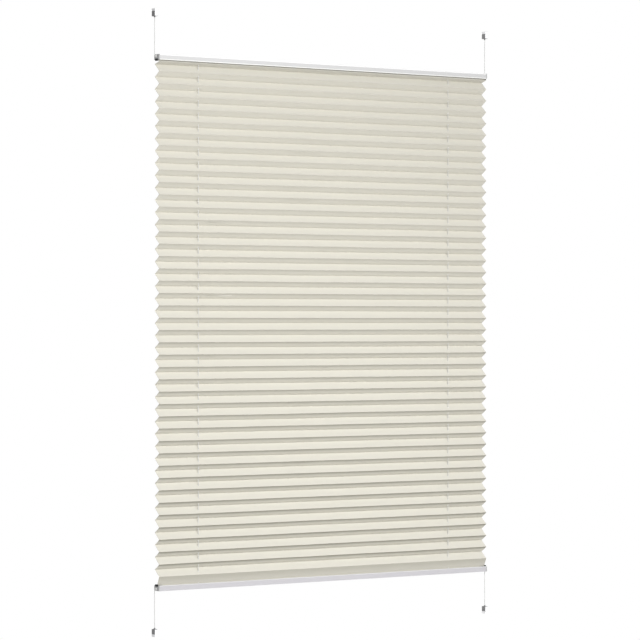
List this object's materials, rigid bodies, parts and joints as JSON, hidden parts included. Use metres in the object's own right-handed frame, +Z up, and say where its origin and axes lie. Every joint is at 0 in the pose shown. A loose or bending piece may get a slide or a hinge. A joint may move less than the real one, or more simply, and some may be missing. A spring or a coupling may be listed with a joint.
{
  "type": "pleated blind",
  "caption": "Free-hung pleated blind: cream folded cloth between two white rails that slide on taut cords held by screw-on tension shoes.",
  "frame": {"origin": "midway between the two upper screw holes, in the plane where the upper shoes meet the window frame", "axes": "+X to the right along the rails as seen from the room, -Y towards the room, +Z up"},
  "size_m": [1.0164, 0.0224, 1.512],
  "materials": {
    "white_aluminium": "white powder coat on extruded aluminium",
    "cap_plastic": "pale grey moulded plastic",
    "bush_plastic": "grey turned plastic",
    "stop_rubber": "black moulded rubber",
    "guide_plastic": "white moulded plastic",
    "strip_plastic": "white extruded plastic strip",
    "shoe_plastic": "white moulded plastic",
    "block_plastic": "dark grey moulded plastic",
    "ferrule_metal": "crimped brass",
    "spring_steel": "spring steel wire",
    "pleated_fabric": "cream woven polyester, stiffened and pleated",
    "cord_fibre": "white braided polyester cord"
  },
  "bodies": {
    "root": {"top_left_shoe": "shoe_plastic", "top_left_tension_block": "block_plastic", "top_left_cord_anchor": "ferrule_metal", "top_left_tension_spring": "spring_steel", "top_right_shoe": "shoe_plastic", "top_right_tension_block": "block_plastic", "top_right_cord_anchor": "ferrule_metal", "top_right_tension_spring": "spring_steel", "bottom_left_shoe": "shoe_plastic", "bottom_left_tension_block": "block_plastic", "bottom_left_cord_anchor": "ferrule_metal", "bottom_left_tension_spring": "spring_steel", "bottom_right_shoe": "shoe_plastic", "bottom_right_tension_block": "block_plastic", "bottom_right_cord_anchor": "ferrule_metal", "bottom_right_tension_spring": "spring_steel", "pleated_cloth": "pleated_fabric", "left_cord": "cord_fibre", "right_cord": "cord_fibre"},
    "top_rail": {"top_rail": "white_aluminium", "top_cloth_strip": "strip_plastic", "top_left_end_cap": "cap_plastic", "top_left_cord_bush": "bush_plastic", "top_left_end_stop": "stop_rubber", "top_left_cord_guide": "guide_plastic", "top_right_end_cap": "cap_plastic", "top_right_cord_bush": "bush_plastic", "top_right_end_stop": "stop_rubber", "top_right_cord_guide": "guide_plastic"},
    "bottom_rail": {"bottom_rail": "white_aluminium", "bottom_cloth_strip": "strip_plastic", "bottom_left_end_cap": "cap_plastic", "bottom_left_cord_bush": "bush_plastic", "bottom_left_end_stop": "stop_rubber", "bottom_left_cord_guide": "guide_plastic", "bottom_right_end_cap": "cap_plastic", "bottom_right_cord_bush": "bush_plastic", "bottom_right_end_stop": "stop_rubber", "bottom_right_cord_guide": "guide_plastic"}
  },
  "joints": [
    {"name": "top_rail_slide", "type": "slide", "parent": "root", "child": "top_rail", "axis": [0, 0, 1], "range_m": [-0.6, 0.08], "deforming": ["pleated_cloth", "left_cord", "right_cord"]},
    {"name": "bottom_rail_slide", "type": "slide", "parent": "root", "child": "bottom_rail", "axis": [0, 0, 1], "range_m": [-0.08, 0.6], "deforming": ["pleated_cloth", "left_cord", "right_cord"]}
  ]
}
